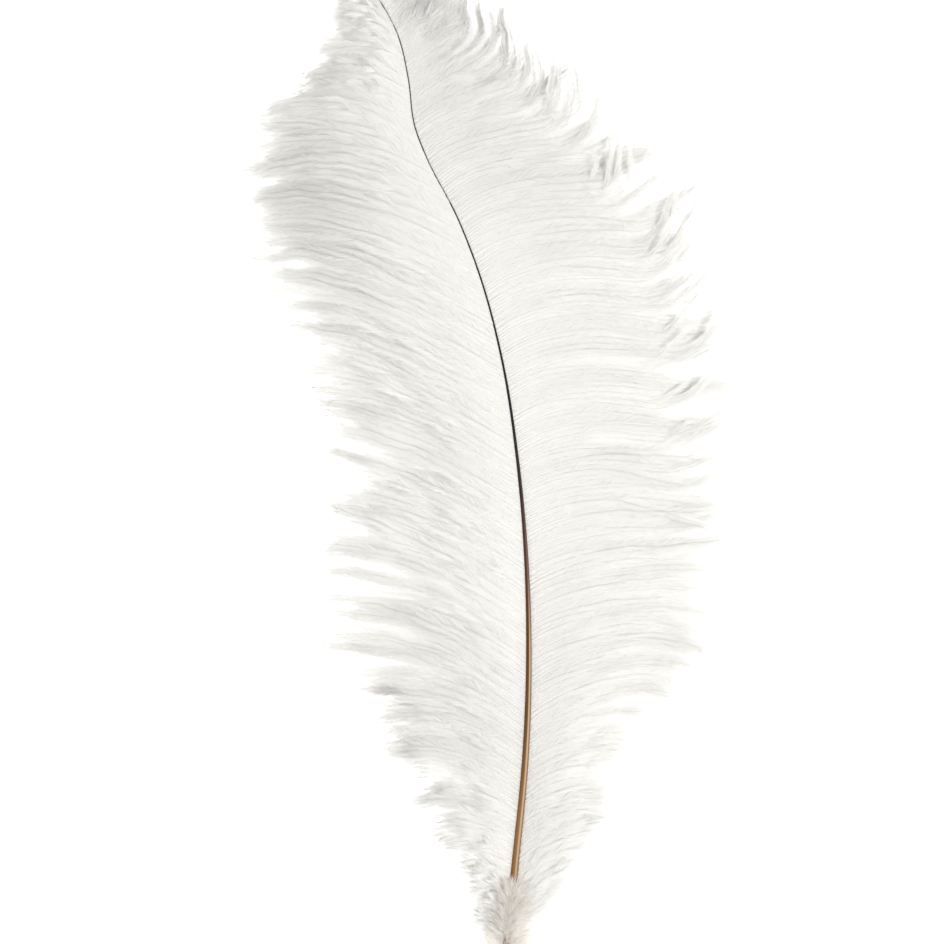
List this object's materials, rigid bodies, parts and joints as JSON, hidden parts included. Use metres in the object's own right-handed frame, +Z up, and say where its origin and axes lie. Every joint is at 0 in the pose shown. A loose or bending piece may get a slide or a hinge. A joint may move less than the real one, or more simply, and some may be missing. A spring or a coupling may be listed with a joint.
{
  "type": "ostrich feather",
  "caption": "White ostrich plume lying flat: a tapering brown shaft with a broad soft vane of fluffy barbs on each side and downy barbs at its foot.",
  "frame": {"origin": "on the surface that the plume lies on, under the middle of its box", "axes": "+Y from the cut end of the quill towards the tip, +Z up, away from the surface it lies on"},
  "size_m": [0.1976, 0.4514, 0.0095],
  "materials": {
    "horn": "satin horn, dark brown to tan",
    "white_barbs": "soft bleached-white barbs",
    "cream_down": "soft cream down"
  },
  "bodies": {
    "root": {"shaft": "horn", "left_vane": "white_barbs", "right_vane": "white_barbs", "down_tuft": "cream_down"}
  },
  "joints": []
}
